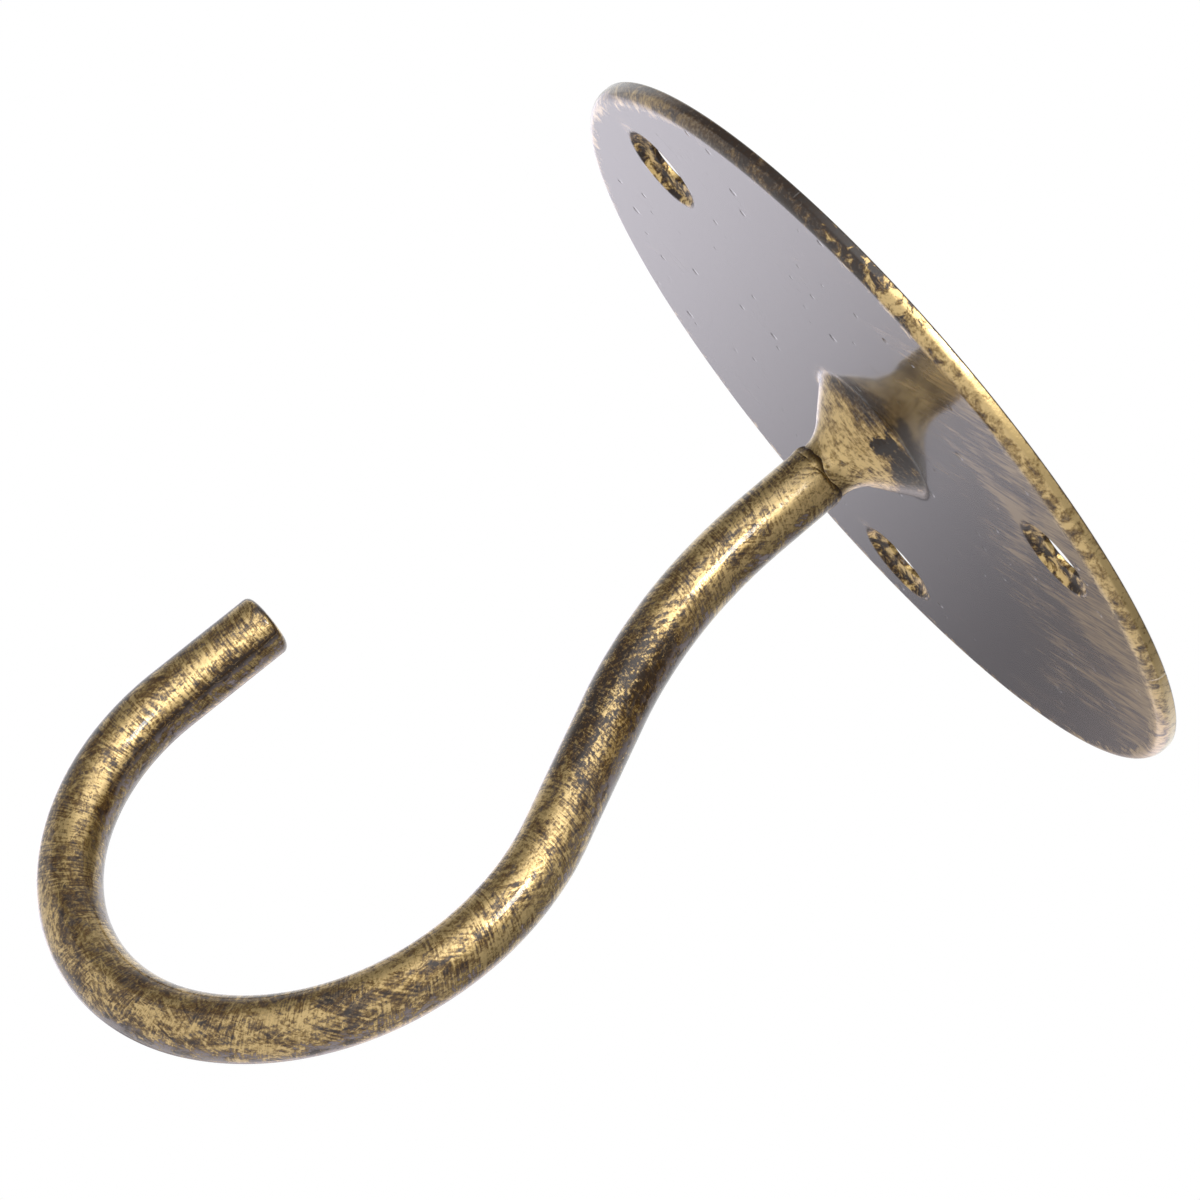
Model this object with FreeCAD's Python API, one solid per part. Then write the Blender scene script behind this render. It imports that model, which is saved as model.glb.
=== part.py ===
import FreeCAD
import Part
import math
import os

# Ceiling hook: a pressed sheet plate with a drawn neck in its middle and three dimpled screw holes, and a
# round bar bent to a hook. The bar's shoulder sits on the end of the neck, and its thinner tail goes
# through the neck and is headed over behind it.
#
# The frame: the ceiling is the plane z = 0, +Z points up into it, the plate's axis is the Z axis and the
# hook is bent in the XZ plane, its belly towards +X and its open tip towards -X. Millimetres and degrees.

# Plate
PLATE_D = 77.0          # outside of the turned rim
SHEET = 0.8             # thickness of the sheet
PLATE_DEPTH = 1.8       # ceiling to the face seen from the room
RIM_R = 1.5             # bend of the rim, on the room side

# Neck drawn out of the plate, from its narrow end to the face
NECK_D = 5.6            # outside of its narrow end
NECK_LAND = 0.6         # straight part at the narrow end
NECK_R = 3.6            # long bend from the narrow end into the flare
FLARE_ANGLE = 42.0      # slope of the flare, from the face
FLARE_RUN = 4.064       # straight part of the flare
FLARE_R = 0.8           # bend from the flare into the face

# Screw holes
HOLE_D = 5.0            # bore
HOLE_CIRCLE_D = 60.0    # circle through the three bores
HOLE_COUNT = 3
HOLE_TURN = -10.0       # first hole, turned from +X
DIMPLE_SLOPE = 15.0     # countersunk side of the dimple, from the face
DIMPLE_RUN = 1.7        # width of that side
DIMPLE_R = 1.5          # rounded lip of the dimple, on the room side

# Hook bar, from the ceiling plane along its centre line to the tip
BAR_D = 6.0
SHANK_RUN = 15.0        # straight part of the shank
BELLY_R = 44.5          # bend that carries the shank out to +X
BELLY_TURN = 29.0
BELLY_RUN = 13.2        # straight part between the two bends
LOOP_R = 25.0           # wide part of the loop
LOOP_TURN = 91.0
CRADLE_R = 21.5         # tighter part of the loop, up to the tip
CRADLE_TURN = 120.0
TIP_RUN = 11.4          # straight tip
TIP_ROUND = 0.7         # edge of the cut end
SHOULDER_ROUND = 0.4    # edge of the shoulder on the neck

# Headed tail
TAIL_GAP = 0.05         # between the tail and the inside of the neck
HEAD_TURN = 44.0        # how far the head follows the inside of the neck
HEAD_CROWN = 0.9        # height of the domed top of the head

# Values that follow from the ones above
NECK_TURN = 90.0 - FLARE_ANGLE
FLARE = math.radians(FLARE_ANGLE)
SLOPE = math.radians(DIMPLE_SLOPE)
NECK_END = (PLATE_DEPTH + FLARE_R * (1 - math.cos(FLARE)) + FLARE_RUN * math.sin(FLARE)
            + NECK_R * math.cos(FLARE) + NECK_LAND)
NECK_FOOT = (NECK_D / 2 + NECK_R * (1 - math.sin(FLARE)) + FLARE_RUN * math.cos(FLARE)
             + FLARE_R * math.sin(FLARE))
DIMPLE_DEPTH = DIMPLE_R * (1 - math.cos(SLOPE)) + DIMPLE_RUN * math.tan(SLOPE)
DIMPLE_D = HOLE_D + 2 * (DIMPLE_RUN + DIMPLE_R * math.sin(SLOPE))

ORIGIN = FreeCAD.Vector(0, 0, 0)
UP = FreeCAD.Vector(0, 0, 1)


def point(x, z):
    return FreeCAD.Vector(x, 0, z)


def trace(x, z, heading, steps):
    """Edges of a path in the XZ plane, its last point and its last heading in degrees.

    A step is ("run", length) or ("bend", radius, turn), where a positive turn is to the left.
    """
    edges = []
    for step in steps:
        a = math.radians(heading)
        if step[0] == "run":
            nx = x + step[1] * math.cos(a)
            nz = z + step[1] * math.sin(a)
            edges.append(Part.makeLine(point(x, z), point(nx, nz)))
        else:
            radius, turn = step[1], step[2]
            side = math.copysign(radius, turn)
            cx = x - side * math.sin(a)
            cz = z + side * math.cos(a)
            half = a + math.radians(turn) / 2
            end = a + math.radians(turn)
            nx = cx + side * math.sin(end)
            nz = cz - side * math.cos(end)
            middle = point(cx + side * math.sin(half), cz - side * math.cos(half))
            edges.append(Part.Arc(point(x, z), middle, point(nx, nz)).toShape())
            heading += turn
        x, z = nx, nz
    return edges, (x, z), heading


def bent_sheet(x, z, heading, steps):
    """Face of a sheet's section: the given path is its room side, and the other side lies SHEET to the left."""
    a = math.radians(heading)
    back = []
    for step in steps:
        if step[0] == "bend":
            step = ("bend", step[1] - math.copysign(SHEET, step[2]), step[2])
        back.append(step)
    room_edges, room_end, _ = trace(x, z, heading, steps)
    bx = x - SHEET * math.sin(a)
    bz = z + SHEET * math.cos(a)
    back_edges, back_end, _ = trace(bx, bz, heading, back)
    ends = [Part.makeLine(point(*room_end), point(*back_end)), Part.makeLine(point(bx, bz), point(x, z))]
    return Part.Face(Part.Wire(Part.__sortEdges__(room_edges + back_edges + ends)))


def turned(face):
    """Solid made by turning a section once round the Z axis."""
    return face.revolve(ORIGIN, UP, 360)


def base_plate():
    face_run = PLATE_D / 2 - RIM_R - NECK_FOOT
    section = bent_sheet(NECK_D / 2, -NECK_END, 90, [
        ("run", NECK_LAND),
        ("bend", NECK_R, -NECK_TURN),
        ("run", FLARE_RUN),
        ("bend", FLARE_R, -FLARE_ANGLE),
        ("run", face_run),
        ("bend", RIM_R, 90),
        ("run", PLATE_DEPTH - RIM_R),
    ])
    plate = turned(section)

    # Each dimple is a ring of the same sheet, let into a round opening in the plate and then bored through.
    overlap = SHEET
    flat = SHEET
    start_x = HOLE_D / 2 - overlap
    start_z = -PLATE_DEPTH + DIMPLE_DEPTH + overlap * math.tan(SLOPE)
    ring = turned(bent_sheet(start_x, start_z, -DIMPLE_SLOPE, [
        ("run", (DIMPLE_RUN + overlap) / math.cos(SLOPE)),
        ("bend", DIMPLE_R, DIMPLE_SLOPE),
        ("run", flat),
    ]))
    through = 4 * PLATE_DEPTH
    bore = Part.makeCylinder(HOLE_D / 2, through, FreeCAD.Vector(0, 0, -through / 2))
    opening = Part.makeCylinder(DIMPLE_D / 2 + flat, through, FreeCAD.Vector(0, 0, -through / 2))
    ring = ring.cut(bore)
    for i in range(HOLE_COUNT):
        a = math.radians(HOLE_TURN + i * 360.0 / HOLE_COUNT)
        centre = FreeCAD.Vector(HOLE_CIRCLE_D / 2 * math.cos(a), HOLE_CIRCLE_D / 2 * math.sin(a), 0)
        plate = plate.cut(opening.translated(centre)).fuse(ring.translated(centre))
    return plate.removeSplitter()


def rounded(solid, centre, radius):
    """The solid with the circular edge round the given point rounded off."""
    edges = [e for e in solid.Edges if isinstance(e.Curve, Part.Circle)
             and e.Curve.Center.distanceToPoint(centre) < 1e-6]
    return solid.makeFillet(radius, edges)


def hook_bar():
    path, tip, _ = trace(0, -NECK_END, -90, [
        ("run", SHANK_RUN - NECK_END),
        ("bend", BELLY_R, BELLY_TURN),
        ("run", BELLY_RUN),
        ("bend", LOOP_R, -LOOP_TURN),
        ("bend", CRADLE_R, -CRADLE_TURN),
        ("run", TIP_RUN),
    ])
    shoulder = point(0, -NECK_END)
    round_section = Part.Wire(Part.makeCircle(BAR_D / 2, shoulder, UP))
    bar = Part.Wire(path).makePipeShell([round_section], True, True)
    bar = rounded(bar, point(*tip), TIP_ROUND)
    bar = rounded(bar, shoulder, SHOULDER_ROUND)

    # The tail fills the neck's bore, opens with the inside of the neck and is domed on top.
    tail_r = NECK_D / 2 - SHEET - TAIL_GAP
    side, (head_r, head_z), _ = trace(tail_r, -NECK_END, 90, [
        ("run", NECK_LAND),
        ("bend", NECK_R + SHEET + TAIL_GAP, -HEAD_TURN),
    ])
    ball = (head_r ** 2 + HEAD_CROWN ** 2) / (2 * HEAD_CROWN)
    ball_z = head_z + HEAD_CROWN - ball
    half = math.asin(head_r / ball) / 2
    crown = point(0, head_z + HEAD_CROWN)
    middle = point(ball * math.sin(half), ball_z + ball * math.cos(half))
    dome = Part.Arc(point(head_r, head_z), middle, crown).toShape()
    closing = [dome, Part.makeLine(crown, shoulder), Part.makeLine(shoulder, point(tail_r, -NECK_END))]
    tail = turned(Part.Face(Part.Wire(Part.__sortEdges__(side + closing))))
    return bar.fuse(tail).removeSplitter()


os.makedirs("parts", exist_ok=True)
for name, shape in (("base_plate", base_plate()), ("hook_bar", hook_bar())):
    solid = shape.Solids[0]
    print(name, "solids", len(shape.Solids), "valid", solid.isValid(), "volume mm3", round(solid.Volume, 1),
          "box", [round(v, 3) for v in (solid.BoundBox.XMin, solid.BoundBox.YMin, solid.BoundBox.ZMin,
                                        solid.BoundBox.XMax, solid.BoundBox.YMax, solid.BoundBox.ZMax)])
    solid.exportStep(f"parts/{name}.step")
print("neck end", round(NECK_END, 3), "neck foot", round(NECK_FOOT, 3), "dimple depth", round(DIMPLE_DEPTH, 3),
      "dimple across", round(DIMPLE_D, 3))
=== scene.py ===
# %% [markdown]
# A ceiling hook: a round pressed plate with three dimpled screw holes and a drawn neck in its middle, and a
# round bar bent to a hook that is headed over inside the neck. Both are sprayed a brown black, wiped over
# with gold by hand and sealed with clear lacquer. This lesson loads the measured parts as a fixed frame,
# works out a smooth skin for each of them with numpy, and paints the skins with nodes.

# %% Load the frame
from types import SimpleNamespace

import bmesh
import bpy
import numpy as np
from mathutils import Matrix, Vector


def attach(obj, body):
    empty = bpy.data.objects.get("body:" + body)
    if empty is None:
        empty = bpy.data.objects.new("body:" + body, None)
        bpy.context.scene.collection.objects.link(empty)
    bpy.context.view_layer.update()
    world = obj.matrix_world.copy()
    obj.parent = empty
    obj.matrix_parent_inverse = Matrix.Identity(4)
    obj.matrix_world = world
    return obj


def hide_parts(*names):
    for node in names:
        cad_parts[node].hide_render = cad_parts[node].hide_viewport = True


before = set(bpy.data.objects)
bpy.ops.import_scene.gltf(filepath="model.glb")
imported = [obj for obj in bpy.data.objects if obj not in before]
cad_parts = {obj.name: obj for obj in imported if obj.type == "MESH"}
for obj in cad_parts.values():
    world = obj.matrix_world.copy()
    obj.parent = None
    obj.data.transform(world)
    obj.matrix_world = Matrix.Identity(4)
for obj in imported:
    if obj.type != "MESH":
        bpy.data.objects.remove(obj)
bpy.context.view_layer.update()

# %% [markdown]
# Every outline here is made of straight runs and round bends, as a bent bar or a pressed sheet is. One
# helper walks along such an outline and leaves points on the way, so the bar's centre line, the tail's
# profile and the sheet's section all come from the same few lines. Bends get a point every few degrees,
# because a round edge is where the light shows a facet first. Lengths are in millimetres up to the mesh.

# %% A walk along runs and bends
MM = 0.001
BEND_STEP = 7.5


def walk(x, y, heading, steps, gap):
    """Points on an outline, one row each: x, y, heading in radians and the length walked so far.

    A step (length, 0) goes straight on. A step (radius, angle) follows a circle of that radius, whose centre
    is at the left of the heading where the angle is positive and at its right where it is negative.
    """
    rows = []
    walked = 0.0
    h = np.radians(heading)
    for size, turn in steps:
        angle = np.radians(turn)
        length = size * abs(angle) if turn else size
        count = max(1, int(np.ceil(length / gap)), int(np.ceil(abs(turn) / BEND_STEP)))
        s = np.linspace(0.0, length, count + 1)
        if turn:
            r = np.copysign(size, turn)
            way = h + s / r
            px = x + r * (np.sin(way) - np.sin(h))
            py = y - r * (np.cos(way) - np.cos(h))
        else:
            way = np.full(count + 1, h)
            px = x + s * np.cos(h)
            py = y + s * np.sin(h)
        rows.append(np.stack([px, py, way, walked + s], 1)[:-1])
        x, y, h, walked = px[-1], py[-1], way[-1], walked + length
    rows.append(np.array([[x, y, h, walked]]))
    return np.concatenate(rows)


# %% [markdown]
# A skin is one or more grids of points. The grids share their border points, so the mesh is made by laying
# the grids one after another, merging the points that fall together and turning all faces outwards. Merging
# also closes a pole, where a whole row of the grid falls on one point.

# %% Grids to a closed mesh
MERGE = 1e-7


def grid_faces(rows, columns):
    """Quads of a grid whose last column joins its first: each links a point to the next in both ways."""
    i = np.arange(rows - 1)[:, None] * columns
    j = np.arange(columns)[None]
    k = (j + 1) % columns
    return np.stack([i + j, i + k, i + columns + k, i + columns + j], -1).reshape(-1, 4)


def closed_skin(name, grids, along=None):
    """A smooth closed mesh from grids of points in millimetres, with an optional vector for each point."""
    points = np.concatenate([g.reshape(-1, 3) for g in grids]) * MM
    starts = np.cumsum([0] + [g.shape[0] * g.shape[1] for g in grids[:-1]])
    faces = np.concatenate([grid_faces(*g.shape[:2]) + s for g, s in zip(grids, starts)])
    mesh = bpy.data.meshes.new(name)
    mesh.from_pydata(points.tolist(), [], faces.tolist())
    if along is not None:
        layer = mesh.attributes.new("along", "FLOAT_VECTOR", "POINT")
        layer.data.foreach_set("vector", (along.reshape(-1, 3) * MM).astype(np.float32).ravel())
    work = bmesh.new()
    work.from_mesh(mesh)
    bmesh.ops.remove_doubles(work, verts=work.verts[:], dist=MERGE)
    bmesh.ops.recalc_face_normals(work, faces=work.faces[:])
    open_edges = sum(1 for e in work.edges if not e.is_manifold)
    volume = work.calc_volume(signed=True) / MM ** 3
    work.to_mesh(mesh)
    work.free()
    mesh.polygons.foreach_set("use_smooth", np.ones(len(mesh.polygons), bool))
    piece = bpy.data.objects.new(name, mesh)
    bpy.context.scene.collection.objects.link(piece)
    print(name, "points", len(mesh.vertices), "faces", len(mesh.polygons), "open edges", open_edges,
          "volume mm3", round(volume, 1))
    return piece


# %% [markdown]
# The bar is round stock, 6 mm thick, cut, bent cold round formers and headed over at its upper end. A curve
# with a round bevel would give an even bar, but not its stepped and domed ends. So its skin is a profile
# carried along a path: the path is the centre line, and the profile says how thick the bar is at each place
# on it. The profile starts on top of the hidden head, follows the thin tail down through the neck, steps out
# at the shoulder, and closes over the rounded edge of the cut tip.

# %% The bar's centre line
NECK_END = 8.0
# Shank, belly, straight part, wide part of the loop, tighter part of it, straight tip.
BAR_STEPS = [(7.0, 0), (44.5, 29.0), (13.2, 0), (25.0, -91.0), (21.5, -120.0), (11.4, 0)]
RINGS_GAP = 0.35

centre_line = walk(0.0, -NECK_END, -90.0, BAR_STEPS, RINGS_GAP)
bar_length = centre_line[-1, 3]
print("centre line mm", round(bar_length, 2))

# %% The bar's profile
BAR_R = 3.0
TAIL_R = 1.95
TAIL_LAND = 0.6
SEAT_R = 4.45
SEAT_TURN = 44.0
HEAD_CROWN = 0.9
SHOULDER_ROUND = 0.4
TIP_ROUND = 0.7
HEAD_GAP = 0.2
SEAT_GAP = 0.3
SHOULDER_GAP = 0.1
TIP_GAP = 0.25

head_r = TAIL_R + SEAT_R * (1 - np.cos(np.radians(SEAT_TURN)))
head_s = -TAIL_LAND - SEAT_R * np.sin(np.radians(SEAT_TURN))
dome_r = (head_r ** 2 + HEAD_CROWN ** 2) / (2 * HEAD_CROWN)
dome_turn = np.degrees(np.arcsin(head_r / dome_r))

head = walk(head_s - HEAD_CROWN, 0.0, 90.0, [(dome_r, -dome_turn)], HEAD_GAP)
seat = walk(head_s, head_r, -SEAT_TURN, [(SEAT_R, SEAT_TURN), (TAIL_LAND, 0)], SEAT_GAP)
shoulder_steps = [(BAR_R - SHOULDER_ROUND - TAIL_R, 0), (SHOULDER_ROUND, -90.0)]
shoulder = walk(0.0, TAIL_R, 90.0, shoulder_steps, SHOULDER_GAP)
long_side = np.arange(2 * RINGS_GAP, bar_length - TIP_ROUND - 0.5 * RINGS_GAP, RINGS_GAP)
tip_steps = [(TIP_ROUND, -90.0), (BAR_R - TIP_ROUND, 0)]
tip = walk(bar_length - TIP_ROUND, BAR_R, 0.0, tip_steps, TIP_GAP)
thickness = np.concatenate([
    head[:, :2],
    seat[1:, :2],
    shoulder[:, :2],
    np.stack([long_side, np.full(len(long_side), BAR_R)], 1),
    tip[:, :2],
])
print("rings", len(thickness), "head radius", round(head_r, 3))

# %% [markdown]
# The rings are laid square to the centre line, so the bar keeps its round section in every bend. Next to
# each point its place on the same bar, but straightened, is kept as an attribute. Paint strokes that read
# this attribute follow the bar round its bends.

# %% The bar's skin
BAR_COLUMNS = 72


def bar_grid(profile, line, columns):
    """Rings round the centre line: at length s the ring has the profile's radius and is square to the line.

    A point is the centre at s plus radius times cos(angle) towards the left of the path plus radius times
    sin(angle) along y. Above the shoulder, where s is negative, the line goes straight on upwards.
    """
    s = np.minimum(np.maximum(profile[:, 0], 0.0), line[-1, 3])
    x, z, h = (np.interp(s, line[:, 3], line[:, k])[:, None] for k in range(3))
    z = z - np.minimum(profile[:, :1], 0.0)
    angle = np.arange(columns) / columns * 2 * np.pi
    left = profile[:, 1:2] * np.cos(angle)
    side = profile[:, 1:2] * np.sin(angle)
    points = np.stack([x - np.sin(h) * left, side, z + np.cos(h) * left], -1)
    straight = np.stack([left, side, profile[:, :1] + 0 * left], -1)
    return points, straight


bar_points, bar_straight = bar_grid(thickness, centre_line, BAR_COLUMNS)
bar_skin = closed_skin("bar_skin", [bar_points], bar_straight)
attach(bar_skin, "root")
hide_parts("hook_bar")

# %% [markdown]
# The plate is a disc of thin sheet. A press turns its rim up, draws the neck out of its middle and sinks a
# dimple round each screw hole. Here are the sections of the rim and of the neck, each a loop that goes out
# on the room side of the sheet, round its edge and back on the ceiling side. A Solidify modifier could give
# the thickness too, but drawn sections keep the bends on both sides true circles.

# %% The sections of the rim and the neck
SHEET = 0.8
FACE_Z = -1.8
BACK_Z = FACE_Z + SHEET
RIM_START = 37.0
RIM_RUN = 1.5
RIM_R = 1.2
LIP = 0.2
NECK_START = 9.5
NECK_FOOT = 7.547
FOOT_R = 0.8
FLARE_ANGLE = 42.0
FLARE_RUN = 4.064
NECK_R = 3.6
NECK_LAND = 0.6
EDGE = 0.15
RIM_GAP = 0.12
NECK_GAP = 0.2

rim_flat = RIM_RUN - RIM_R
rim_side = -FACE_Z - RIM_R - LIP
rim = walk(RIM_START, FACE_Z, 0.0, [
    (rim_flat, 0), (RIM_R, 90.0), (rim_side, 0),
    (LIP, 90.0), (SHEET - 2 * LIP, 0), (LIP, 90.0),
    (rim_side, 0), (RIM_R - SHEET, -90.0), (rim_flat, 0),
], RIM_GAP)

neck_turn = 90.0 - FLARE_ANGLE
foot_flat = NECK_START - NECK_FOOT
neck = walk(NECK_START, FACE_Z, 180.0, [
    (foot_flat, 0), (FOOT_R, FLARE_ANGLE), (FLARE_RUN, 0), (NECK_R, neck_turn), (NECK_LAND - EDGE, 0),
    (EDGE, -90.0), (SHEET - 2 * EDGE, 0), (EDGE, -90.0), (NECK_LAND - EDGE, 0),
    (NECK_R + SHEET, -neck_turn), (FLARE_RUN, 0), (FOOT_R + SHEET, -FLARE_ANGLE), (foot_flat, 0),
], NECK_GAP)
print("rim ends at", rim[-1, :2].round(3), "neck ends at", neck[-1, :2].round(3))

# %% [markdown]
# A dimple is pressed with a round punch, so it has a small steep lip, then a gentle slope down to the bore.
# Its section starts on the face, goes over the lip and the slope into the bore, up the bore's wall and out
# again along the back, where the sheet is smoother.

# %% The section of a dimple
HOLE_R = 2.5
DIMPLE_EDGE = 5.2
DIMPLE_MOUTH = 4.588
# Rounded lip, steep side, hollow bend, gentle slope, rounded edge of the bore.
BOWL = [(0.22, -52.0), (0.35, 0), (0.5, 37.0), (1.02, 0), (0.15, -75.0)]
BOWL_GAP = 0.14
BACK_SLOPE = 15.0
BACK_RUN = 1.7
BACK_R = 1.5
BURR = 0.08
WALL_GAP = 0.16

bowl_width = -walk(0.0, 0.0, 180.0, BOWL, BOWL_GAP)[-1, 0]
face_run = DIMPLE_EDGE - HOLE_R - bowl_width
hole_room = walk(DIMPLE_EDGE, FACE_Z, 180.0, [(face_run, 0)] + BOWL, BOWL_GAP)
wall_r, wall_z = hole_room[-1, :2]

slope = np.radians(BACK_SLOPE)
burr_turn = 90.0 + BACK_SLOPE
burr_run = BURR * np.tan(np.radians(burr_turn / 2))
back_z = FACE_Z + BACK_R * (1 - np.cos(slope)) + BACK_RUN * np.tan(slope) + SHEET / np.cos(slope)
back_run = (BACK_RUN + SHEET * np.sin(slope)) / np.cos(slope)
hole_wall = walk(wall_r, wall_z, 90.0, [
    (back_z - burr_run - wall_z, 0), (BURR, -burr_turn), (back_run - burr_run, 0),
    (BACK_R - SHEET, BACK_SLOPE), (DIMPLE_EDGE - DIMPLE_MOUTH, 0),
], WALL_GAP)
dimple = np.concatenate([hole_room, hole_wall[1:]])
print("dimple ends at", dimple[-1, :2].round(3), "hole radius", round(dimple[:, 0].min(), 3))

# %% [markdown]
# A plain round grid can't carry three holes, so the face is split into three equal sectors with one hole in
# each. Inside a sector the rings start on the sector's border and close in on the hole, go through it and
# come out again on the back. A boolean cut would be shorter, but it leaves long thin faces that shade badly.

# %% A sector of the face
HOLE_CIRCLE_R = 30.0
HOLE_TURN = -10.0
HALF_SECTOR = 60.0
INNER = 60
SIDE = 36
OUTER = 90
BLEND = np.linspace(0.0, 1.0, 9)[:-1]


def sector_border():
    """Closed border of one sector, hole on the x axis: inner arc, side, outer arc and side again."""
    a = np.radians(HALF_SECTOR)
    up = np.linspace(-a, a, INNER, endpoint=False)
    out = np.linspace(NECK_START, RIM_START, SIDE, endpoint=False)
    down = np.linspace(a, -a, OUTER, endpoint=False)
    back = np.linspace(RIM_START, NECK_START, SIDE, endpoint=False)
    r = np.concatenate([np.full(INNER, NECK_START), out, np.full(OUTER, RIM_START), back])
    t = np.concatenate([up, np.full(SIDE, a), down, np.full(SIDE, -a)])
    return np.stack([r * np.cos(t), r * np.sin(t)], 1)


def sector_grid(turn):
    """Rings of one sector: on each ray from the hole's centre to the border, out to in on the face, through
    the dimple's section, and in to out on the back."""
    border = sector_border() - [HOLE_CIRCLE_R, 0.0]
    reach = np.hypot(border[:, 0], border[:, 1])
    ray = border / reach[:, None]
    blend = reach[None] + BLEND[:, None] * (DIMPLE_EDGE - reach[None])
    middle = np.repeat(dimple[:, :1], len(reach), 1)
    distance = np.concatenate([blend, middle, blend[::-1]])
    height = np.concatenate([np.full(len(BLEND), FACE_Z), dimple[:, 1], np.full(len(BLEND), BACK_Z)])
    x = HOLE_CIRCLE_R + distance * ray[:, 0]
    y = distance * ray[:, 1]
    c, s = np.cos(np.radians(turn)), np.sin(np.radians(turn))
    return np.stack([c * x - s * y, s * x + c * y, height[:, None] + 0 * x], -1)


hole_turns = [HOLE_TURN + k * 2 * HALF_SECTOR for k in range(3)]
sectors = [sector_grid(turn) for turn in hole_turns]
print("sectors", len(sectors), "points in each", sectors[0].shape[0] * sectors[0].shape[1])

# %% [markdown]
# The rim and the neck are round grids whose first and last rows lie on the sectors' borders, so everything
# merges to one closed skin. The press didn't draw the neck quite straight, so its flare is moved a little
# sideways, which fades out before the narrow end and before the flat face.

# %% The plate's skin
ASKEW = 0.42
ASKEW_WAY = (0.747, 0.665, 0.0)
ASKEW_FROM = 3.3


def round_grid(section, columns):
    """A section turned once round the plate's axis: each point keeps its height and goes round a circle."""
    a = np.radians(HOLE_TURN - HALF_SECTOR) + np.arange(columns) / columns * 2 * np.pi
    r = section[:, :1]
    return np.stack([r * np.cos(a), r * np.sin(a), section[:, 1:2] + 0 * a], -1)


def smooth(value, low, high):
    """Goes from 0 at low to 1 at high, level at both ends: three times the square less twice the cube."""
    t = np.clip((value - low) / (high - low), 0.0, 1.0)
    return t * t * (3 - 2 * t)


def pressed_askew(points):
    """Moves the neck's flare sideways: nothing at the narrow end, most at the foot, nothing on the face."""
    r = np.hypot(points[..., 0], points[..., 1])
    share = smooth(r, ASKEW_FROM, NECK_FOOT) * (1 - smooth(r, NECK_FOOT + 0.2, NECK_START - 0.1))
    return points + ASKEW * share[..., None] * np.array(ASKEW_WAY)


neck_grid = pressed_askew(round_grid(neck, 3 * INNER))
plate_skin = closed_skin("plate_skin", sectors + [round_grid(rim, 3 * OUTER), neck_grid])
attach(plate_skin, "root")
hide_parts("base_plate")

# %% [markdown]
# Where the bar's shoulder meets the neck, paint has run into the joint and dried there as an uneven bead,
# thick on one side, almost nothing elsewhere, and hanging in a lump at one place. It is a thin round profile
# carried along a circle, like a torus, but a few waves of different length change its thickness and its
# height on the way round.

# %% The bead in the joint
BEAD_R = 2.60
BEAD_WAY = 3.87
LUMP_WAY = 0.20
BEAD_THIN = 0.10
BEAD_HUMP = 0.31
BEAD_LUMP = 0.30
BEAD_LEVEL = -NECK_END - 0.06
BEAD_TALL = 1.9
BEAD_STEPS = 144
BEAD_COLUMNS = 16


def bead_grid(rings, columns):
    """A ring of changing thickness: the circle of radius BEAD_R, plus cos of the profile's angle times the
    thickness outwards, and the level plus sin of it times BEAD_TALL times the thickness upwards.

    The thickness is a thin rest, a wide hump towards BEAD_WAY times two waves, and a narrow lump towards
    LUMP_WAY. The level goes up and down three times on the way round and hangs lower at the lump.
    """
    a = (np.arange(rings + 1) / rings * 2 * np.pi)[:, None]
    b = np.arange(columns) / columns * 2 * np.pi
    hump = smooth(np.cos(a - BEAD_WAY), -0.75, 0.65)
    lump = BEAD_LUMP * smooth(np.cos(a - LUMP_WAY), 0.72, 0.97)
    waves = 1 + 0.16 * np.sin(5 * a + 1.0) + 0.10 * np.sin(11 * a + 2.0)
    thick = BEAD_THIN + BEAD_HUMP * hump * waves + lump
    level = BEAD_LEVEL + 0.12 * np.sin(3 * a + 0.5) - lump
    r = BEAD_R + thick * np.cos(b)
    return np.stack([r * np.cos(a), r * np.sin(a), level + BEAD_TALL * thick * np.sin(b)], -1)


bead_skin = closed_skin("joint_bead", [bead_grid(BEAD_STEPS, BEAD_COLUMNS)])
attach(bead_skin, "root")

# %% [markdown]
# A material here is a few layers: where the gold was wiped on, how the wiping strokes run, and the lacquer
# over all of it. Small helpers keep the node trees readable. Sizes are given as the size of a speck or
# stroke in metres, by a Mapping node of the texture kind, which turns first and then divides by the size.

# %% Helpers for node trees
def put(tree, kind, inputs=None, **settings):
    """Adds a node, sets its options, and gives each named input a value or a link."""
    made = tree.nodes.new("ShaderNode" + kind)
    for key, value in settings.items():
        setattr(made, key, value)
    for key, value in (inputs or {}).items():
        if isinstance(value, bpy.types.NodeSocket):
            tree.links.new(value, made.inputs[key])
        else:
            made.inputs[key].default_value = value
    return made


def calc(tree, operation, *values, clamp=False):
    """One step of arithmetic on numbers or sockets."""
    return put(tree, "Math", dict(enumerate(values)), operation=operation, use_clamp=clamp).outputs[0]


def total(tree, *parts):
    """Sum of weight times value over (weight, value) pairs."""
    result = calc(tree, "MULTIPLY", parts[0][1], parts[0][0])
    for weight, value in parts[1:]:
        result = calc(tree, "MULTIPLY_ADD", value, weight, result)
    return result


def ease(tree, value, low, high, to_low=0.0, to_high=1.0):
    """A smooth ramp that goes from to_low at low to to_high at high."""
    limits = {"Value": value, "From Min": low, "From Max": high, "To Min": to_low, "To Max": to_high}
    return put(tree, "MapRange", limits, interpolation_type="SMOOTHSTEP").outputs["Result"]


def specks(tree, where, size, turn=(0.0, 0.0, 0.0), detail=2.0, rough=0.5, bend=0.0):
    """Noise of about 0.5 on average, whose specks have the given size along each axis of a turned frame."""
    place = {"Vector": where, "Rotation": [np.radians(a) for a in turn], "Scale": size}
    turned = put(tree, "Mapping", place, vector_type="TEXTURE").outputs[0]
    kind = {"Vector": turned, "Scale": 1.0, "Detail": detail, "Roughness": rough, "Distortion": bend}
    return put(tree, "TexNoise", kind).outputs[0]


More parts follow.
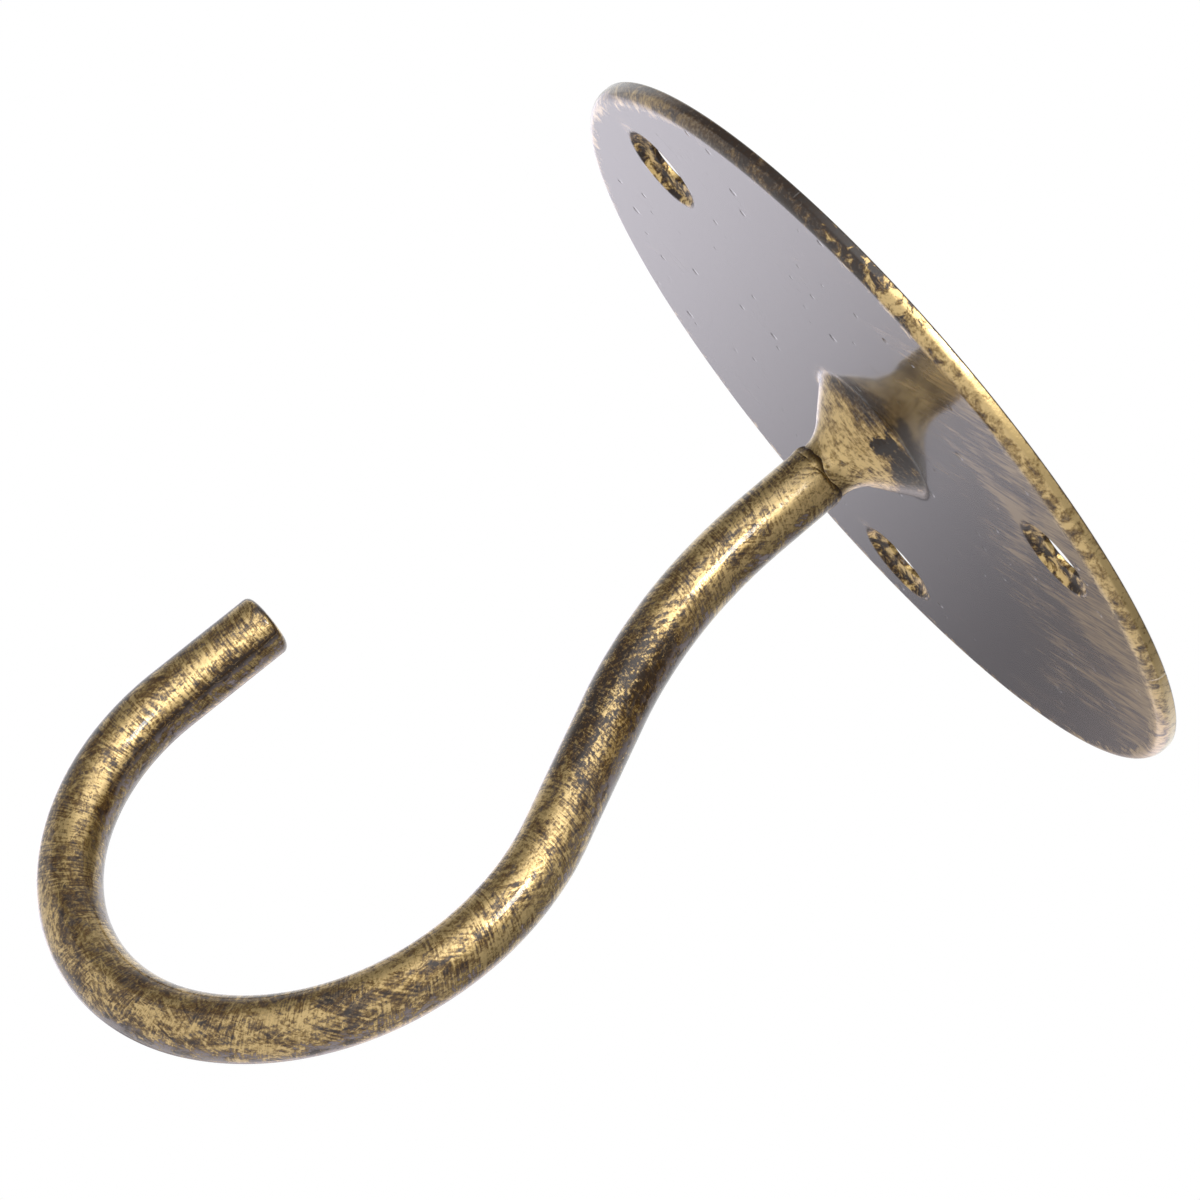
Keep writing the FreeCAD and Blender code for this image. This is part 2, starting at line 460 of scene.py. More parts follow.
def fresh_material(name):
    """A new material with an empty node tree."""
    material = bpy.data.materials.new(name)
    material.use_nodes = True
    material.node_tree.nodes.clear()
    return material, material.node_tree


# %% [markdown]
# The lacquered paint itself is the same on both parts, so one function builds it from a few masks. Where
# there is gold, the base is a rough metal; elsewhere it is a brown black paint, greyed by a haze and in
# places by a painted pale sheen, a painted reflection of the bright room. Gold paint goes through several
# colours as it gets thicker, so a colour ramp with four stops fits better than a mix of two.

# %% Colours of the paint
PAINT_STOPS = [
    (0.00, (0.024, 0.013, 0.007, 1.0)),
    (0.30, (0.092, 0.053, 0.022, 1.0)),
    (0.62, (0.285, 0.196, 0.088, 1.0)),
    (1.00, (0.66, 0.50, 0.265, 1.0)),
]
# Colour of the painted pale sheen: a painted reflection of the bright room along the bar's edges.
PAINTED_SHEEN_COLOUR = (0.30, 0.25, 0.26, 1.0)


def tint(tree, share, first, second):
    """A colour between two colours: the first where the share is 0, the second where it is 1."""
    return put(tree, "Mix", {0: share, 6: first, 7: second}, data_type="RGBA").outputs[2]


def paint_ramp(tree, gold):
    """Colour by the gold's share: bare brown black, a thin umber glaze, ochre, and full pale gold."""
    ramp = put(tree, "ValToRGB", {"Fac": gold})
    stops = ramp.color_ramp.elements
    while len(stops) < len(PAINT_STOPS):
        stops.new(0.5)
    for stop, (place, colour) in zip(stops, PAINT_STOPS):
        stop.position = place
        stop.color = colour
    return ramp.outputs["Color"]


def paint_colour(tree, gold, haze, painted_edge_sheen):
    """The ramp's colour, less saturated where the haze lies on dark paint, and mixed with the painted pale
    sheen, a painted reflection, which may be None, where there is little gold."""
    dull = calc(tree, "MULTIPLY", ease(tree, haze, 0.42, 0.66), ease(tree, gold, 0.75, 0.25))
    vivid = calc(tree, "MULTIPLY_ADD", dull, -0.5, 1.15)
    colour = put(tree, "HueSaturation", {"Saturation": vivid, "Color": paint_ramp(tree, gold)}).outputs[0]
    if painted_edge_sheen is None:
        return colour
    # The painted pale sheen, a painted reflection, shows where there is little gold.
    shown = calc(tree, "MULTIPLY", painted_edge_sheen, ease(tree, gold, 0.60, 0.20))
    return tint(tree, shown, colour, PAINTED_SHEEN_COLOUR)


# %% [markdown]
# The shader has two surfaces, as the real finish has: the paint with its strokes below, and the clear coat
# with its own gentle waves on top. Each gets its own bump. What is the same all over, such as the coat's
# roughness, sits on the shader's own sockets.

# %% Paint, gold and lacquer
def lacquered(name, masks, sheen):
    """A material of dark paint with some sheen, wiped gold and clear lacquer.

    The given function adds the masks and returns the gold's share, the heights in metres of the paint and of
    the lacquer, the haze, the painted pale sheen or None, and the weight of the coat.
    """
    material, tree = fresh_material(name)
    gold, height, lacquer_height, haze, painted_edge_sheen, coat = masks(tree)
    bump = put(tree, "Bump", {"Height": height, "Distance": 1.0, "Strength": 1.0})
    lacquer_bump = put(tree, "Bump", {"Height": lacquer_height, "Distance": 1.0, "Strength": 1.0})
    shader = put(tree, "BsdfPrincipled", {
        "Base Color": paint_colour(tree, gold, haze, painted_edge_sheen),
        "Metallic": ease(tree, gold, 0.12, 0.60),
        "Roughness": ease(tree, gold, 0.0, 1.0, 0.48, 0.36),
        "Specular IOR Level": sheen,
        "Normal": bump.outputs[0],
        "Coat Weight": coat,
        "Coat Roughness": 0.09,
        "Coat IOR": 1.5,
        "Coat Normal": lacquer_bump.outputs[0],
    })
    put(tree, "OutputMaterial", {"Surface": shader.outputs[0]})
    print(name, "nodes", len(tree.nodes))
    return material


# %% [markdown]
# On the bar the gold was wiped across, so it lies in short fine strokes that go round the bar, a little
# askew, over larger mottles and patches. A stroke is a noise that is stretched across the bar and squeezed
# along it, which is cheaper than drawn strokes and never repeats.

# %% Marks on the bar
def between(tree, share, first, second):
    """A number between two numbers: the first where the share is 0, the second where it is 1."""
    return put(tree, "Mix", {0: share, 2: first, 3: second}, data_type="FLOAT").outputs[0]


def bar_marks(tree, where):
    """Noises of falling size: patches, mottles, strokes across the bar and flecks. The strokes have two
    leanings, and a wide noise picks one of them at each place."""
    across = specks(tree, where, (0.0017, 0.0017, 0.00021), turn=(16.0, -12.0, 0.0), bend=0.3)
    askew = specks(tree, where, (0.0021, 0.0021, 0.00026), turn=(-36.0, 42.0, 0.0), bend=0.3)
    which = ease(tree, specks(tree, where, (0.004, 0.004, 0.004), detail=1.0), 0.44, 0.56)
    return SimpleNamespace(
        patch=specks(tree, where, (0.0030, 0.0030, 0.0060)),
        mottle=specks(tree, where, (0.0006, 0.0006, 0.0015), detail=4.0, rough=0.65, bend=0.8),
        across=across,
        stroke=between(tree, which, across, askew),
        fleck=specks(tree, where, (0.00024, 0.00024, 0.00026), detail=3.0, rough=0.60, bend=0.5),
    )


# %% [markdown]
# The cloth didn't reach everywhere. The belly is almost bare, while the start of the loop and the shank are
# rich. The side faces of the hook get less gold, partly from the wiping and partly as a painted reflection
# along the bar's edges. A dark strip beside the tip is a painted reflection. Each of these is a smooth band
# along the bar or over the direction that the surface faces.

# %% Where the bar is bare or painted dark
# The way the gold was wiped from. The painted reflections on the side faces and beside the tip are laid out
# from it too.
WIPE_AND_REFLECTION_WAY = (0.306, -0.952, 0.0)
# Stretches of the bar in metres from the joint: where a band starts, is full, ebbs and ends.
BELLY = (0.016, 0.026, 0.033, 0.043)
RICH = (0.037, 0.045, 0.058, 0.066)
LOOP = (0.080, 0.088, 0.102, 0.112)
# The same for how far the surface faces the wiping way, for the painted dark reflection beside the tip.
TIP_REFLECTION_FACING = (0.44, 0.56, 0.66, 0.78)


def towards(tree, vector, way):
    """How far a vector points along a way: the sum of the products of their coordinates."""
    return put(tree, "VectorMath", {0: vector, 1: way}, operation="DOT_PRODUCT").outputs["Value"]


def band(tree, value, start, full, ebb, end):
    """A smooth band: 0 up to start, 1 from full to ebb, and 0 again from end on."""
    return calc(tree, "MULTIPLY", ease(tree, value, start, full), ease(tree, value, end, ebb))


def bare_and_painted_dark_on_bar(tree, length):
    """How much gold is missing, as a weighted sum of bands. Among them are a painted dark reflection beside
    the tip and the side faces, which are partly painted reflection. Also returned are the belly's band and
    how far the surface faces the wiping way or away from it."""
    facing = towards(tree, put(tree, "TexCoord").outputs["Normal"], WIPE_AND_REFLECTION_WAY)
    turned = calc(tree, "ABSOLUTE", facing)
    belly = band(tree, length, *BELLY)
    # A dark reflection of the room, painted as a strip beside the tip.
    tip_dark_reflection = calc(tree, "MULTIPLY", band(tree, facing, *TIP_REFLECTION_FACING), ease(tree, length, 0.108, 0.124))
    bare = total(
        tree,
        (0.115, belly),
        (0.035, band(tree, length, *LOOP)),
        # Side faces: partly less wiping, partly a painted reflection along the edges.
        (0.06, ease(tree, turned, 0.55, 0.10)),
        (0.20, tip_dark_reflection),
        (-0.04, band(tree, length, *RICH)),
        (-0.045, ease(tree, length, 0.016, 0.008)),
    )
    return bare, belly, turned


# %% [markdown]
# A few thin scratches lie bright on the dark paint, some along the bar and some across it. A wide noise that
# is stretched along the scratch passes through any one level on long thin lines, and those are the
# scratches. A second noise lets only some stretches of them show.

# %% Scratches on the bar
def vein_line(tree, vein, level, wide=0.011, thin=0.004):
    """A line where a noise passes through a level: 1 within thin of the level, 0 further off than wide."""
    gap = calc(tree, "ABSOLUTE", calc(tree, "SUBTRACT", vein, level))
    return ease(tree, gap, wide, thin)


def bar_scratches(tree, where, marks):
    """The stronger of two sets of thin lines, along the bar on its patches and across it on its mottles."""
    long_vein = specks(tree, where, (0.0011, 0.0011, 0.0075), turn=(6.0, -9.0, 0.0), detail=1.0)
    cross_vein = specks(tree, where, (0.0060, 0.0060, 0.0010), turn=(38.0, -44.0, 0.0), detail=1.0)
    on_patch = ease(tree, marks.patch, 0.50, 0.56)
    on_mottle = ease(tree, marks.mottle, 0.48, 0.54)
    long_line = calc(tree, "MULTIPLY", vein_line(tree, long_vein, 0.47), on_patch)
    cross_line = calc(tree, "MULTIPLY", vein_line(tree, cross_vein, 0.54), on_mottle)
    return calc(tree, "MAXIMUM", long_line, cross_line)


# %% [markdown]
# Now the layers are put together. The gold's share is the sum of all the marks less what is bare, made steep
# so that strokes have an edge, and worn thin along the strokes. The side faces of the bar carry a painted
# pale sheen, a painted reflection of the bright room along the bar's edges.

# %% The bar's finish
BAR_SHEEN = 0.12


def bar_masks(tree):
    """Gold: 4.6 times the cover less 3.15, kept from 0 to 1, worn by flecks and strokes, and raised by
    bright flecks and scratches. Heights: the marks and the strokes, some hundredths of a millimetre high."""
    where = put(tree, "Attribute", attribute_name="along").outputs["Vector"]
    length = put(tree, "SeparateXYZ", {"Vector": where}).outputs["Z"]
    marks = bar_marks(tree, where)
    bare, belly, turned = bare_and_painted_dark_on_bar(tree, length)
    busy = calc(tree, "MULTIPLY", belly, calc(tree, "SUBTRACT", marks.fleck, 0.5))
    cover = total(tree, (0.42, marks.stroke), (0.50, marks.mottle), (0.30, marks.fleck), (0.44, marks.patch),
                  (0.40, busy), (-1.0, bare))
    gold = calc(tree, "MULTIPLY_ADD", cover, 4.6, -3.15, clamp=True)
    worn = total(tree, (0.5, marks.fleck), (0.5, marks.across))
    gold = calc(tree, "MULTIPLY", gold, ease(tree, worn, 0.38, 0.60, 0.76, 1.0))
    gold = calc(tree, "MAXIMUM", gold, ease(tree, marks.fleck, 0.56, 0.70, 0.0, 0.70))
    gold = calc(tree, "MULTIPLY_ADD", bar_scratches(tree, where, marks), 0.45, gold, clamp=True)
    height = total(tree, (0.00002, marks.stroke), (0.00001, marks.mottle), (0.00002, marks.fleck))
    lacquer_height = calc(tree, "MULTIPLY", marks.across, 0.000012)
    haze = specks(tree, where, (0.0009, 0.0009, 0.0022), (0.0, 25.0, 0.0), detail=4.0, rough=0.65, bend=0.5)
    # Painted pale sheen on the faces turned sideways, a painted reflection of the bright room, weaker on the
    # belly.
    painted_sheen_share = calc(tree, "MULTIPLY", ease(tree, turned, 0.66, 0.30, 0.0, 0.85), ease(tree, haze, 0.40, 0.56))
    painted_edge_sheen = calc(tree, "MULTIPLY", painted_sheen_share, calc(tree, "MULTIPLY_ADD", belly, -0.5, 1.0))
    return gold, height, lacquer_height, haze, painted_edge_sheen, 1.0


bar_finish = lacquered("bar_wiped_gold", bar_masks, BAR_SHEEN)
bar_skin.data.materials.append(bar_finish)

# %% [markdown]
# The plate has zones with finishes of their own: neck, face, rim and dimples. All of them ask where a point
# lies, so that is worked out once, together with the noises that several zones share. Object coordinates do
# here, because the plate is flat and its strokes are straight.

# %% Places on the plate
def plate_places(tree):
    """Where a point of the plate lies: its coordinates, the same without height, its distance and direction
    from the axis, and how far that direction points along ASKEW_WAY. With them come the shared noises."""
    where = put(tree, "TexCoord").outputs["Object"]
    x, y, z = put(tree, "SeparateXYZ", {"Vector": where}).outputs
    flat = put(tree, "CombineXYZ", {"X": x, "Y": y, "Z": 0.0}).outputs[0]
    unit = put(tree, "VectorMath", {0: flat}, operation="NORMALIZE").outputs["Vector"]
    return SimpleNamespace(
        where=where,
        x=x,
        z=z,
        flat=flat,
        radius=put(tree, "VectorMath", {0: flat}, operation="LENGTH").outputs["Value"],
        unit=unit,
        sideways=towards(tree, unit, ASKEW_WAY),
        grain=specks(tree, where, (0.0003, 0.0003, 0.0003), detail=3.0, rough=0.6),
        blotch=specks(tree, where, (0.0013, 0.0013, 0.0010), detail=4.0, rough=0.62, bend=0.6),
        cloud=specks(tree, where, (0.009, 0.005, 0.01), turn=(0.0, 0.0, -18.0), detail=3.0, rough=0.6),
    )


# %% [markdown]
# The neck stands out, so the cloth caught on it: it is almost all gold, with short dark strokes that go round
# it, darker along its foot on two sides, and bare at one chip. Its strokes need a place that goes round and
# down the neck, so the direction from the axis is laid on a small circle, and the way down the slope takes
# the place of the height.

# %% Gold on the neck
STROKE_RING = 0.005
STROKE_DOWN = 0.75
NEAR_WAY = (0.665, -0.747, 0.0)
CHIP_AT = (0.0049, -0.0036, 0.0)


def apart(tree, point, place):
    """Distance of a point from a place."""
    return put(tree, "VectorMath", {0: point, 1: tuple(place)}, operation="DISTANCE").outputs["Value"]


def neck_strokes(tree, at):
    """Short strokes and mottles on a circle of radius STROKE_RING for the direction, against radius plus
    height, times STROKE_DOWN, for the way down."""
    ring = put(tree, "VectorMath", {0: at.unit, "Scale": STROKE_RING}, operation="SCALE").outputs["Vector"]
    ring_part = put(tree, "SeparateXYZ", {"Vector": ring}).outputs
    down = calc(tree, "MULTIPLY", calc(tree, "ADD", at.radius, at.z), STROKE_DOWN)
    around = put(tree, "CombineXYZ", {"X": ring_part[0], "Y": ring_part[1], "Z": down}).outputs[0]
    stroke_size = (0.0014, 0.0014, 0.00026)
    stroke = specks(tree, around, stroke_size, (24.0, 18.0, 0.0), detail=3.0, rough=0.6, bend=0.4)
    mottle = specks(tree, around, (0.0020, 0.0020, 0.0014), detail=4.0, rough=0.62, bend=0.4)
    return stroke, mottle


def neck_paint(tree, at):
    """Gold and height on the neck: 0.82, plus the strokes' swing about 0.5 times a gain that grows to one
    side, less a weighted sum of the darker places along the foot and the bare chip."""
    stroke, mottle = neck_strokes(tree, at)
    foot = ease(tree, at.radius, 0.0048, 0.0066)
    foot_side = calc(tree, "MULTIPLY", foot, ease(tree, at.sideways, 0.30, 0.85))
    foot_near = calc(tree, "MULTIPLY", foot, ease(tree, towards(tree, at.unit, NEAR_WAY), 0.55, 0.95))
    chip_edge = calc(tree, "MULTIPLY_ADD", mottle, 0.0050, apart(tree, at.flat, CHIP_AT))
    chip = ease(tree, chip_edge, 0.0038, 0.0030)
    foot_edge = ease(tree, at.radius, 0.0054, 0.0070)
    foot_edge = calc(tree, "MULTIPLY", foot_edge, ease(tree, at.sideways, 0.05, -0.25))
    bare = total(tree, (0.75, foot_side), (0.42, foot_near), (0.9, chip), (0.42, foot_edge))
    swing = calc(tree, "SUBTRACT", total(tree, (0.36, stroke), (0.44, mottle), (0.20, at.grain)), 0.5)
    tone = calc(tree, "MULTIPLY", swing, ease(tree, at.sideways, -0.6, 0.5, 3.6, 5.4))
    gold = calc(tree, "ADD", calc(tree, "SUBTRACT", tone, bare), 0.82, clamp=True)
    return gold, calc(tree, "MULTIPLY", stroke, 0.00003)


# %% [markdown]
# On the face the cloth went straight across, so the gold is a few long faint streaks, more of them and a
# thin veil towards +X. Beside each dimple, where the cloth came out of it, a little more gold stayed behind.

# %% Gold on the face and beside the dimples
def hole_places(tree, at):
    """Two masks from the distances to the three holes: 1 in the dimples, and 1 where more gold stayed behind
    beside them."""
    near = 0.0
    smear = 0.0
    for turn in hole_turns:
        a = np.radians(turn)
        middle = HOLE_CIRCLE_R * MM * np.array([np.cos(a), np.sin(a), 0.0])
        beside = middle - 0.0042 * np.array(ASKEW_WAY)
        near = calc(tree, "MAXIMUM", near, ease(tree, apart(tree, at.flat, middle), 0.0046, 0.0041))
        smear = calc(tree, "MAXIMUM", smear, ease(tree, apart(tree, at.flat, beside), 0.0030, 0.0006))
    return near, smear


def face_paint(tree, at, smear):
    """Gold and height on the face: a ramp over the sum of streaks, fine lines, clouds, the side and the smear
    beside the dimples, plus the veil."""
    streak_size = (0.0066, 0.00085, 0.01)
    streak = specks(tree, at.where, streak_size, (0.0, 0.0, -16.0), detail=4.0, rough=0.62, bend=0.9)
    fine_size = (0.0050, 0.00022, 0.01)
    fine = specks(tree, at.where, fine_size, (0.0, 0.0, -22.0), detail=3.0, rough=0.6, bend=0.3)
    side = ease(tree, at.x, -0.004, 0.036, -0.13, 0.10)
    cover = total(tree, (0.55, streak), (0.20, fine), (0.50, at.cloud), (1.0, side), (0.22, smear))
    veil = ease(tree, at.x, 0.008, 0.038, 0.0, 0.20)
    gold = calc(tree, "ADD", ease(tree, cover, 0.58, 0.84, 0.0, 0.62), veil)
    return gold, calc(tree, "MULTIPLY", fine, 0.000004)


# %% [markdown]
# The rim and the dimples are mottled, because the cloth only touched them. On one side the rim is dark,
# partly bare paint and partly a painted dark reflection, with a ragged change between the two. Along its
# outermost crest a highlight is painted where the rim is gold, and a darker line where it is dark.

# %% Gold on the rim and in the dimples
# Heights on the rim in metres where a highlight is painted along its crest: where it starts, is full, ebbs
# and ends.
CREST_HIGHLIGHT = (-0.0011, -0.0006, -0.0003, -0.0001)


def rim_paint(tree, at):
    """Gold on the rim and the mask of the rim. The blotches shift the place along ASKEW_WAY and the radius,
    so both edges are ragged. Bare, partly a painted dark reflection, goes up on the far side and comes down
    again at its end, and a painted highlight runs along the crest."""
    swing = calc(tree, "SUBTRACT", at.blotch, 0.5)
    place = calc(tree, "MULTIPLY_ADD", swing, 0.9, at.sideways)
    # The dark side is partly bare paint and partly a painted dark reflection.
    bare = ease(tree, place, -0.10, -0.38, -0.03, 0.15)
    far_end = ease(tree, place, -0.66, -0.86, 0.0, 0.12)
    # Painted highlight along the crest on the gold side, and a painted darker line on the dark side.
    crest_highlight = calc(tree, "MULTIPLY", band(tree, at.z, *CREST_HIGHLIGHT), ease(tree, place, -0.38, -0.10, -1.0, 1.0))
    cover = total(tree, (0.72, at.blotch), (0.28, at.grain), (-1.0, bare), (1.0, far_end), (0.10, crest_highlight))
    gold = calc(tree, "MULTIPLY_ADD", cover, 3.6, -1.20, clamp=True)
    ragged = calc(tree, "MULTIPLY_ADD", swing, 0.0040, at.radius)
    return gold, ease(tree, ragged, 0.0366, 0.0375)


def dimple_gold(tree, at):
    """Gold in the dimples: blotches and grain, made steep, so that some blotches are gold and some bare."""
    cover = total(tree, (0.8, at.blotch), (0.2, at.grain))
    return calc(tree, "MULTIPLY_ADD", cover, 7.0, -3.05, clamp=True)


# %% [markdown]
# Small pits in the lacquer were left by dust, and a few scratches by use. The pits are the middles of the
# cells of a Voronoi texture. The random colour of a cell says whether it has a pit and how large it is.

# %% Marks in the plate's lacquer
PITS_PER_METRE = 260.0


def lacquer_marks(tree, at):
    """Masks for pits and scratches. A pit is full up to a quarter of its size and fades out at its size;
    scratches are the lines where a stretched noise is 0.5, on some clouds and off the rim."""
    grid = {"Vector": at.flat, "Scale": PITS_PER_METRE, "Randomness": 1.0}
    cells = put(tree, "TexVoronoi", grid, voronoi_dimensions="2D").outputs
    draw = put(tree, "SeparateXYZ", {"Vector": cells["Color"]}).outputs
    chosen = calc(tree, "MULTIPLY", ease(tree, draw["X"], 0.62, 0.64), ease(tree, at.cloud, 0.42, 0.48))
    pit_size = calc(tree, "MULTIPLY_ADD", draw["Y"], 0.11, 0.035)
    pit = ease(tree, calc(tree, "DIVIDE", cells["Distance"], pit_size), 1.0, 0.25)
    vein = specks(tree, at.where, (0.0150, 0.0022, 0.01), turn=(0.0, 0.0, 52.0), detail=1.0)
    shown = calc(tree, "MULTIPLY", ease(tree, at.cloud, 0.56, 0.62), ease(tree, at.radius, 0.0366, 0.0360))
    scratch = calc(tree, "MULTIPLY", vein_line(tree, vein, 0.5, 0.010, 0.002), shown)
    return calc(tree, "MULTIPLY", pit, chosen), scratch


# %% [markdown]
# Last the zones are laid over each other: face, rim, dimples, neck. The lacquer is thin in the dimples,
# where the spray hardly reached, and uneven there and on the neck. No cloth went over the back, so it keeps
# the plain dark paint.

# %% The plate's finish
PLATE_SHEEN = 0.15


def plate_masks(tree):
    """Each value starts with the face's, and goes over to another zone's where that zone's mask is 1."""
    at = plate_places(tree)
    near_hole, smear = hole_places(tree, at)
    on_neck = ease(tree, at.radius, 0.0080, 0.0070)
    neck_gold, neck_height = neck_paint(tree, at)
    face_gold, face_height = face_paint(tree, at, smear)
    rim_gold, on_rim = rim_paint(tree, at)
    gold = between(tree, on_rim, face_gold, rim_gold)
    gold = between(tree, near_hole, gold, dimple_gold(tree, at))
    gold = between(tree, on_neck, gold, neck_gold)
    upward = put(tree, "SeparateXYZ", {"Vector": put(tree, "TexCoord").outputs["Normal"]}).outputs["Z"]
    gold = calc(tree, "MULTIPLY", gold, ease(tree, upward, 0.6, 0.1, 0.15, 1.0))
    on_edge = calc(tree, "MAXIMUM", on_rim, near_hole)
    height = between(tree, on_edge, face_height, calc(tree, "MULTIPLY", at.grain, 0.00002))
    height = between(tree, on_neck, height, neck_height)
    pit, scratch = lacquer_marks(tree, at)
    waves = calc(tree, "SUBTRACT", total(tree, (0.00006, at.blotch), (0.00003, at.grain)), 0.000045)
    uneven = calc(tree, "MULTIPLY", total(tree, (2.2, near_hole), (0.7, on_neck)), waves)
    lacquer_height = total(tree, (0.00001, at.cloud), (-0.00006, pit), (-0.000006, scratch), (1.0, uneven))
    coat = ease(tree, near_hole, 0.0, 1.0, 1.0, 0.35)
    return gold, height, lacquer_height, at.grain, None, coat


plate_finish = lacquered("plate_wiped_gold", plate_masks, PLATE_SHEEN)
plate_skin.data.materials.append(plate_finish)
bead_skin.data.materials.append(plate_finish)

# %% [markdown]
# The camera stands a little below the plate and is rolled, so the hook lies across the picture. A long lens
# from less than a metre away keeps the sides of the bar almost parallel.

# %% Camera
CAMERA_AT = Vector((0.51805, -0.58805, -0.17187))
LOOKS_AT = Vector((-0.00544, -0.00007, -0.02965))
ROLL = 49.752
LENS = 270.0

camera_data = bpy.data.cameras.new("camera")
camera_data.lens = LENS
camera_data.sensor_width = 36.0
camera_data.clip_start = 0.01
camera_data.clip_end = 20.0
camera = bpy.data.objects.new("camera", camera_data)
aim = (LOOKS_AT - CAMERA_AT).to_track_quat("-Z", "Y").to_matrix().to_4x4()
camera.matrix_world = Matrix.Translation(CAMERA_AT) @ aim @ Matrix.Rotation(np.radians(ROLL), 4, "Z")
bpy.context.scene.collection.objects.link(camera)
bpy.context.scene.camera = camera
print("camera distance", round((LOOKS_AT - CAMERA_AT).length, 4))

# %% [markdown]
# The studio has one soft box, high beside the camera, for the bright line along the bar. An area lamp is
# used because its reflection in the lacquer has the straight edges of a real soft box, where a point lamp
# would leave a dot.

# %% Soft box
BOX_AIM = Vector((-0.005, 0.0, -0.035))


def soft_box(name, toward, distance, width, height, radiance):
    """An area lamp that faces the hook: its power is radiance times pi times its area."""
    data = bpy.data.lights.new(name, "AREA")
    data.shape = "RECTANGLE"
    data.size = width
    data.size_y = height
    data.energy = radiance * np.pi * width * height
    lamp = bpy.data.objects.new(name, data)
    way = Vector(toward).normalized()
    facing = way.to_track_quat("Z", "Y").to_matrix().to_4x4()
    lamp.matrix_world = Matrix.Translation(BOX_AIM + way * distance) @ facing
    bpy.context.scene.collection.objects.link(lamp)
    print(name, "watts", round(data.energy, 2))


soft_box("key_box", (0.586, -0.735, 0.341), 1.0, 0.26, 0.22, 13.0)

# %% [markdown]
# The world is the room round the hook: grey in front, darker at the sides, with one wide glow and a little
# light from above. The camera sees plain white instead, and mirrors see a pale backdrop behind the hook. The
# Light Path node tells these apart, so the white background adds no light to the hook.

# %% World
SIDES = 0.20
ROOM = 0.45
GLOW = 1.7
GLOW_WAY = (0.36, -0.87, 0.34)
ABOVE = 0.25
BACKDROP = 0.8
BACKDROP_WAY = (-0.654, 0.735, 0.178)


def in_mirrors(tree):
    """1 for what is seen in a mirror or through glass, 0 otherwise."""
    ray = put(tree, "LightPath").outputs
    return calc(tree, "MAXIMUM", ray["Is Glossy Ray"], ray["Is Transmission Ray"])


world = bpy.data.worlds.new("studio")
world.use_nodes = True
bpy.context.scene.world = world
sky = world.node_tree
sky.nodes.clear()
sky_way = put(sky, "TexCoord").outputs["Generated"]
behind = towards(sky, sky_way, BACKDROP_WAY)
lit = towards(sky, sky_way, Vector(GLOW_WAY).normalized())
high = put(sky, "SeparateXYZ", {"Vector": sky_way}).outputs["Z"]
backdrop = calc(sky, "MULTIPLY", in_mirrors(sky), ease(sky, behind, 0.28, 0.80, 0.0, BACKDROP))
room = total(
    sky,
    (1.0, ease(sky, behind, 0.2, -0.6, SIDES, ROOM)),
    (1.0, ease(sky, lit, 0.72, 1.0, 0.0, GLOW)),
    (1.0, ease(sky, high, 0.25, 0.85, 0.0, ABOVE)),
    (1.0, backdrop),
)
strength = between(sky, put(sky, "LightPath").outputs["Is Camera Ray"], room, 1.0)
back = put(sky, "Background", {"Color": (1.0, 1.0, 1.0, 1.0), "Strength": strength})
put(sky, "OutputWorld", {"Surface": back.outputs[0]})
print("world nodes", len(sky.nodes))

# %% [markdown]
# A plain pale floor lies well below the hook. In mirrors it glows a little, so that the lacquer shows pale
# paper there as it would in a bright studio.

# %% Floor
FLOOR_Z = -0.36
FLOOR_HALF = 3.0
FLOOR_WHITE = 0.22


def stage_sheet(name, corners, material):
    """A flat four-cornered sheet for the studio."""
    mesh = bpy.data.meshes.new(name)
    mesh.from_pydata([tuple(c) for c in corners], [], [(0, 1, 2, 3)])
    mesh.materials.append(material)
    sheet = bpy.data.objects.new(name, mesh)
    bpy.context.scene.collection.objects.link(sheet)
    return sheet


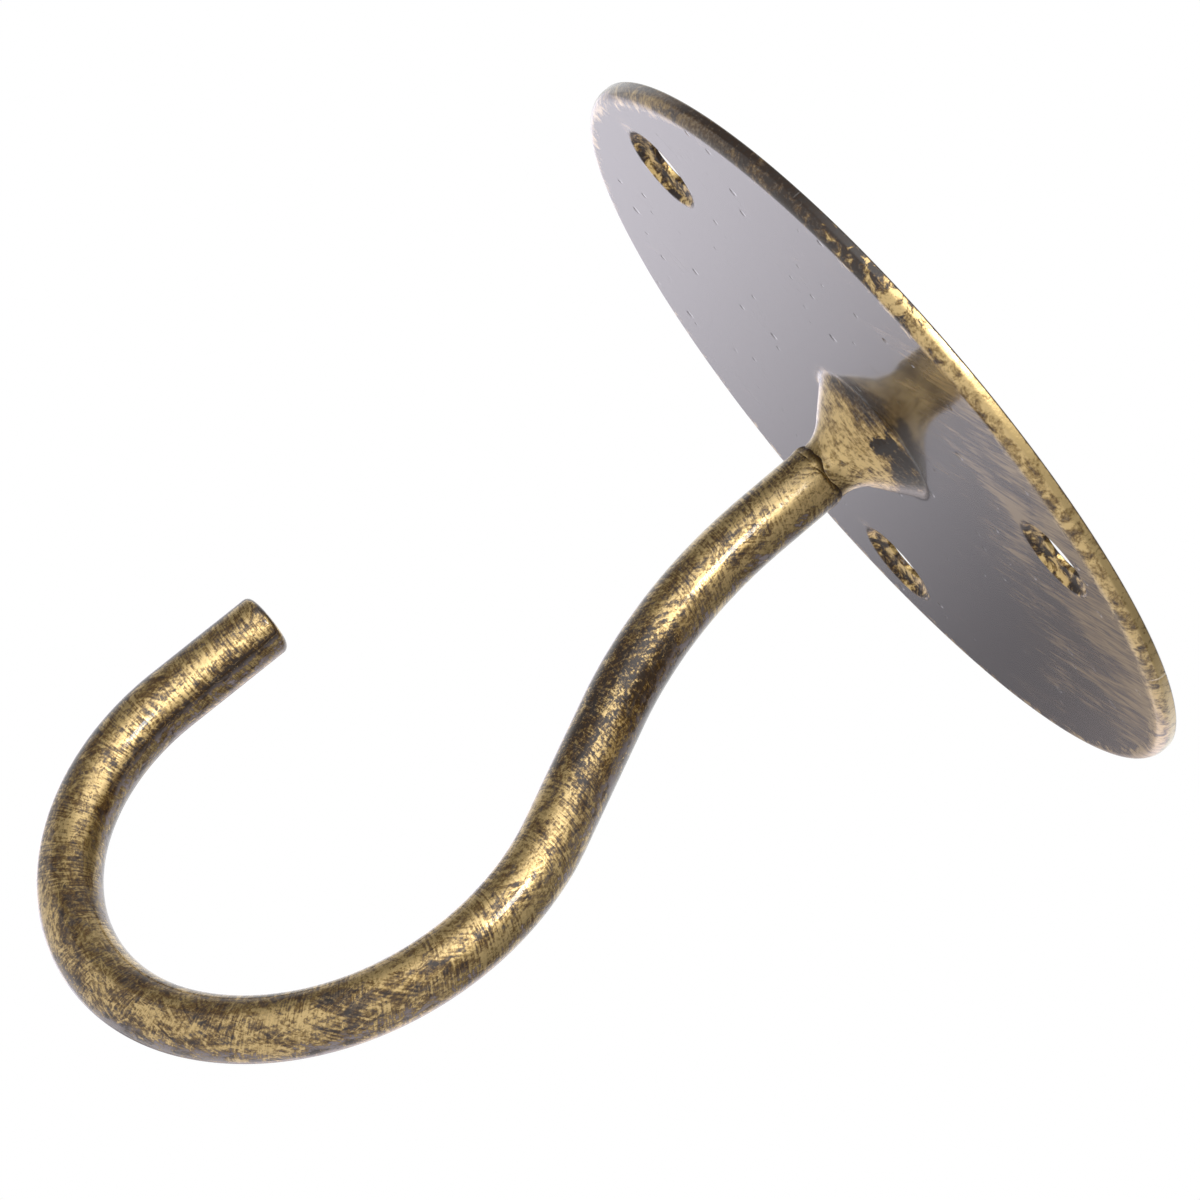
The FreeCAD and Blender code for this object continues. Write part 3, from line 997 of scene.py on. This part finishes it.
floor_paint, floor_tree = fresh_material("floor_paper")
floor_shader = put(floor_tree, "BsdfPrincipled", {
    "Base Color": (0.86, 0.86, 0.86, 1.0),
    "Roughness": 0.9,
    "Specular IOR Level": 0.2,
    "Emission Color": (1.0, 0.97, 1.0, 1.0),
    "Emission Strength": calc(floor_tree, "MULTIPLY", in_mirrors(floor_tree), FLOOR_WHITE),
})
put(floor_tree, "OutputMaterial", {"Surface": floor_shader.outputs[0]})
floor_signs = ((-1, -1), (1, -1), (1, 1), (-1, 1))
stage_sheet("floor", [(FLOOR_HALF * a, FLOOR_HALF * b, FLOOR_Z) for a, b in floor_signs], floor_paint)
print("floor at", FLOOR_Z)

# %% [markdown]
# At the camera's flat angle the plate mirrors what stands behind the hook. A card there goes from light to
# dark and warm, which gives the plate its gradient. The camera doesn't see the card, and it throws no
# shadow.

# %% Card
CARD_AT = np.array([-0.323, 0.367, -0.108])
CARD_RIGHT = np.array([0.747, 0.665, 0.0])
CARD_UP = np.array([0.0, 0.0, 1.0])
CARD_W = 0.70
CARD_H = 0.30
CARD_CORNERS = ((-0.35, -0.5), (0.65, -0.5), (0.65, 0.5), (-0.35, 0.5))
CARD_COOL = (0.95, 0.915, 1.0, 1.0)
CARD_WARM = (1.06, 0.88, 0.79, 1.0)

card_paint, card_tree = fresh_material("graded_card")
card_side = towards(card_tree, put(card_tree, "TexCoord").outputs["Object"], tuple(CARD_RIGHT))
card_mid = float(CARD_AT @ CARD_RIGHT)
card_fade = ease(card_tree, card_side, card_mid - 0.070, card_mid + 0.055, 1.62, 0.16)
card_far = ease(card_tree, card_side, card_mid - 0.14, card_mid - 0.22, 1.0, 0.75)
card_warm = ease(card_tree, card_side, card_mid + 0.030, card_mid + 0.085, 0.0, 0.36)
card_end = ease(card_tree, card_side, card_mid + 0.11, card_mid + 0.20, 0.0, 0.75)
card_fade = calc(card_tree, "MULTIPLY", card_fade, card_far)
card_glow = put(card_tree, "Emission", {
    "Color": tint(card_tree, card_warm, CARD_COOL, CARD_WARM),
    "Strength": total(card_tree, (1.0, card_fade), (1.0, card_warm), (1.0, card_end)),
})
put(card_tree, "OutputMaterial", {"Surface": card_glow.outputs[0]})
card_corners = [CARD_AT + CARD_RIGHT * CARD_W * a + CARD_UP * CARD_H * b for a, b in CARD_CORNERS]
card = stage_sheet("card", card_corners, card_paint)
card.visible_camera = False
card.visible_shadow = False
print("card middle", CARD_AT.tolist())

# %% [markdown]
# Last comes the colour setting.

# %% Finish
bpy.context.scene.view_settings.view_transform = "Standard"
